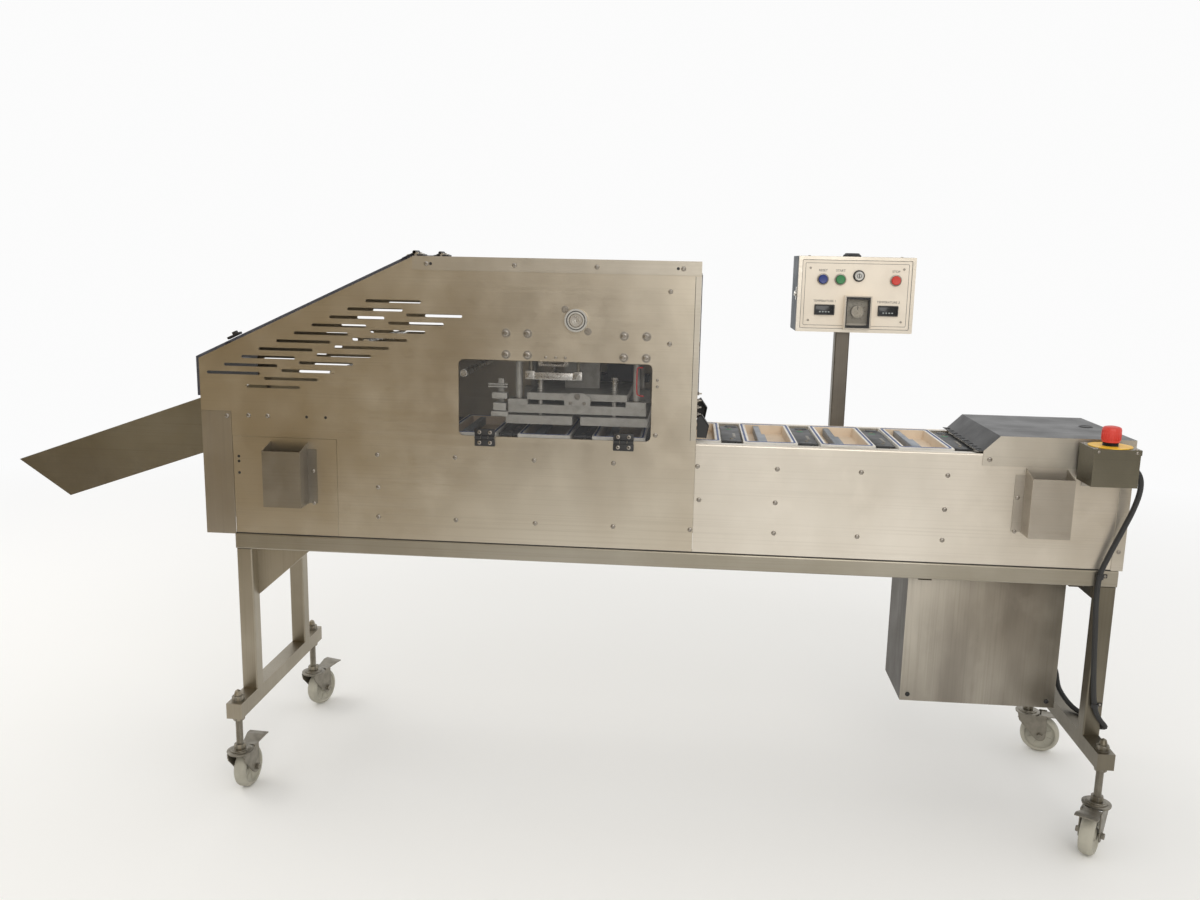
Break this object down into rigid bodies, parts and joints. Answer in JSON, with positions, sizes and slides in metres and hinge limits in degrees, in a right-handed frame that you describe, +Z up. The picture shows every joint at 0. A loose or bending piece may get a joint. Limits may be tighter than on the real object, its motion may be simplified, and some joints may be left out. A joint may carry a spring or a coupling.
{
  "type": "tray and carton sealing machine",
  "caption": "Wheeled stainless in-line heat sealer: chain of pack carriers, guarded sealing head with cam press and hinged window, sloped outfeed chute, control box on a post.",
  "frame": {"origin": "centre of the footprint of the whole machine, on the floor", "axes": "+X along the conveyor from the outfeed chute to the infeed end, +Y from the operator's side to the back, +Z up"},
  "size_m": [2.6908, 0.7648, 1.326],
  "materials": {
    "brushed_stainless": "horizontally brushed, satin",
    "frame_stainless": "dull brushed tube",
    "bright_steel": "bright zinc or machined steel",
    "grey_nylon": "matte",
    "tinted_sheet": "see-through smoked acrylic",
    "white_plastic": "satin",
    "black_plastic": "satin",
    "red_plastic": "gloss",
    "green_plastic": "gloss",
    "blue_plastic": "gloss",
    "yellow_plastic": "satin"
  },
  "bodies": {
    "machine_frame": {"rail_front": "frame_stainless", "rail_rear": "frame_stainless", "leg_frame_left": "frame_stainless", "leg_frame_right": "frame_stainless", "head_side_front": "brushed_stainless", "head_side_rear": "brushed_stainless", "head_lid": "brushed_stainless", "entry_panel": "brushed_stainless", "exit_guard": "tinted_sheet", "left_end_cover": "brushed_stainless", "access_panel": "brushed_stainless", "outfeed_chute": "brushed_stainless", "conveyor_side_front": "brushed_stainless", "conveyor_side_rear": "brushed_stainless", "slide_bed": "frame_stainless", "end_cover": "brushed_stainless", "shaft_guard_left": "brushed_stainless", "shaft_guard_right": "brushed_stainless", "press_bridge": "frame_stainless", "estop_box": "brushed_stainless", "estop_plate": "yellow_plastic", "estop_lead": "black_plastic", "cabinet": "brushed_stainless", "control_post": "frame_stainless", "control_box": "brushed_stainless"},
    "fork_front_left": {"castor_fork_front_left": "bright_steel"},
    "wheel_front_left": {"castor_wheel_front_left": "grey_nylon"},
    "brake_front_left": {"castor_brake_front_left": "bright_steel"},
    "fork_rear_left": {"castor_fork_rear_left": "bright_steel"},
    "wheel_rear_left": {"castor_wheel_rear_left": "grey_nylon"},
    "brake_rear_left": {"castor_brake_rear_left": "bright_steel"},
    "fork_front_right": {"castor_fork_front_right": "bright_steel"},
    "wheel_front_right": {"castor_wheel_front_right": "grey_nylon"},
    "brake_front_right": {"castor_brake_front_right": "bright_steel"},
    "fork_rear_right": {"castor_fork_rear_right": "bright_steel"},
    "wheel_rear_right": {"castor_wheel_rear_right": "grey_nylon"},
    "brake_rear_right": {"castor_brake_rear_right": "bright_steel"},
    "window": {"window_door": "tinted_sheet"},
    "loading_guard": {"sloped_guard": "tinted_sheet"},
    "press": {"press_crosshead": "bright_steel", "heater_platen": "bright_steel"},
    "press_shaft": {"press_shaft": "bright_steel"},
    "carrier_row": {"carrier_1": "white_plastic", "carrier_2": "white_plastic", "carrier_3": "white_plastic", "carrier_4": "white_plastic", "carrier_5": "white_plastic", "carrier_6": "white_plastic", "carrier_7": "white_plastic", "carrier_8": "white_plastic"},
    "drive_shaft": {"drive_shaft": "bright_steel"},
    "tail_shaft": {"tail_shaft": "bright_steel"},
    "control_door": {"control_door": "brushed_stainless"},
    "reset_button": {"reset_button": "blue_plastic"},
    "start_button": {"start_button": "green_plastic"},
    "stop_button": {"stop_button": "red_plastic"},
    "key_switch": {"key_switch": "bright_steel"},
    "timer_knob": {"timer_knob": "black_plastic"},
    "timer_cover": {"timer_cover": "tinted_sheet"},
    "estop_button": {"estop_button": "red_plastic"}
  },
  "joints": [
    {"name": "swivel_front_left", "type": "hinge", "parent": "machine_frame", "child": "fork_front_left", "pos_m": [-0.77741, -0.28755, 0.11], "axis": [0, 0, 1], "continuous": true},
    {"name": "roll_front_left", "type": "hinge", "parent": "fork_front_left", "child": "wheel_front_left", "pos_m": [-0.77497, -0.25264, 0.05], "axis": [-0.9976, 0.0698, 0], "continuous": true},
    {"name": "pedal_front_left", "type": "hinge", "parent": "fork_front_left", "child": "brake_front_left", "pos_m": [-0.77469, -0.24865, 0.107], "axis": [-0.9976, 0.0698, 0], "range_deg": [0, 9]},
    {"name": "swivel_rear_left", "type": "hinge", "parent": "machine_frame", "child": "fork_rear_left", "pos_m": [-0.77741, 0.20945, 0.11], "axis": [0, 0, 1], "continuous": true},
    {"name": "roll_rear_left", "type": "hinge", "parent": "fork_rear_left", "child": "wheel_rear_left", "pos_m": [-0.76659, 0.24274, 0.05], "axis": [-0.9511, 0.309, 0], "continuous": true},
    {"name": "pedal_rear_left", "type": "hinge", "parent": "fork_rear_left", "child": "brake_rear_left", "pos_m": [-0.76536, 0.24654, 0.107], "axis": [-0.9511, 0.309, 0], "range_deg": [0, 9]},
    {"name": "swivel_front_right", "type": "hinge", "parent": "machine_frame", "child": "fork_front_right", "pos_m": [1.24559, -0.28755, 0.11], "axis": [0, 0, 1], "continuous": true},
    {"name": "roll_front_right", "type": "hinge", "parent": "fork_front_right", "child": "wheel_front_right", "pos_m": [1.22653, -0.3169, 0.05], "axis": [0.8387, -0.5446, 0], "continuous": true},
    {"name": "pedal_front_right", "type": "hinge", "parent": "fork_front_right", "child": "brake_front_right", "pos_m": [1.22435, -0.32026, 0.107], "axis": [0.8387, -0.5446, 0], "range_deg": [0, 9]},
    {"name": "swivel_rear_right", "type": "hinge", "parent": "machine_frame", "child": "fork_rear_right", "pos_m": [1.24559, 0.20945, 0.11], "axis": [0, 0, 1], "continuous": true},
    {"name": "roll_rear_right", "type": "hinge", "parent": "fork_rear_right", "child": "wheel_rear_right", "pos_m": [1.27869, 0.19805, 0.05], "axis": [0.3256, 0.9455, 0], "continuous": true},
    {"name": "pedal_rear_right", "type": "hinge", "parent": "fork_rear_right", "child": "brake_rear_right", "pos_m": [1.28247, 0.19675, 0.107], "axis": [0.3256, 0.9455, 0], "range_deg": [0, 9]},
    {"name": "window_swing", "type": "hinge", "parent": "machine_frame", "child": "window", "pos_m": [-0.02341, -0.21815, 0.8925], "axis": [1, 0, 0], "range_deg": [0, 165]},
    {"name": "guard_swing", "type": "hinge", "parent": "machine_frame", "child": "loading_guard", "pos_m": [-0.35541, -0.04505, 1.314], "axis": [0, 1, 0], "range_deg": [0, 100]},
    {"name": "press_stroke", "type": "slide", "parent": "machine_frame", "child": "press", "axis": [0, 0, 1], "range_m": [-0.024, 0], "stiffness_N_per_m": 20000, "springref_m": 0.03},
    {"name": "press_turn", "type": "hinge", "parent": "machine_frame", "child": "press_shaft", "pos_m": [0.02459, -0.04505, 1.169], "axis": [0, 1, 0], "range_deg": [0, 150]},
    {"name": "row_advance", "type": "slide", "parent": "machine_frame", "child": "carrier_row", "axis": [1, 0, 0], "range_m": [-0.1762, 0]},
    {"name": "drive_turn", "type": "hinge", "parent": "machine_frame", "child": "drive_shaft", "pos_m": [-0.65741, -0.04505, 0.781], "axis": [0, 1, 0], "range_deg": [-119, 0]},
    {"name": "tail_turn", "type": "hinge", "parent": "machine_frame", "child": "tail_shaft", "pos_m": [1.08859, -0.04505, 0.781], "axis": [0, 1, 0], "range_deg": [-119, 0]},
    {"name": "door_swing", "type": "hinge", "parent": "machine_frame", "child": "control_door", "pos_m": [0.86209, 0.23675, 1.228], "axis": [0, 0, 1], "range_deg": [0, 110]},
    {"name": "reset_press", "type": "slide", "parent": "control_door", "child": "reset_button", "axis": [0, 1, 0], "range_m": [0, 0.004], "stiffness_N_per_m": 400, "springref_m": -0.003},
    {"name": "start_press", "type": "slide", "parent": "control_door", "child": "start_button", "axis": [0, 1, 0], "range_m": [0, 0.004], "stiffness_N_per_m": 400, "springref_m": -0.003},
    {"name": "stop_press", "type": "slide", "parent": "control_door", "child": "stop_button", "axis": [0, 1, 0], "range_m": [0, 0.004], "stiffness_N_per_m": 400, "springref_m": -0.003},
    {"name": "key_turn", "type": "hinge", "parent": "control_door", "child": "key_switch", "pos_m": [0.71559, 0.22445, 1.277], "axis": [0, 1, 0], "range_deg": [0, 90]},
    {"name": "timer_turn", "type": "hinge", "parent": "control_door", "child": "timer_knob", "pos_m": [0.71509, 0.22445, 1.185], "axis": [0, 1, 0], "range_deg": [0, 300]},
    {"name": "timer_cover_swing", "type": "hinge", "parent": "control_door", "child": "timer_cover", "pos_m": [0.71509, 0.19715, 1.226], "axis": [-1, 0, 0], "range_deg": [0, 110]},
    {"name": "estop_press", "type": "slide", "parent": "machine_frame", "child": "estop_button", "axis": [0, 0, -1], "range_m": [0, 0.006]}
  ],
  "couplings": [
    {"joint": "press_turn", "follows": "press_stroke", "rad_per_m": -109.08},
    {"joint": "drive_turn", "follows": "row_advance", "rad_per_m": 11.765},
    {"joint": "tail_turn", "follows": "row_advance", "rad_per_m": 11.765}
  ]
}
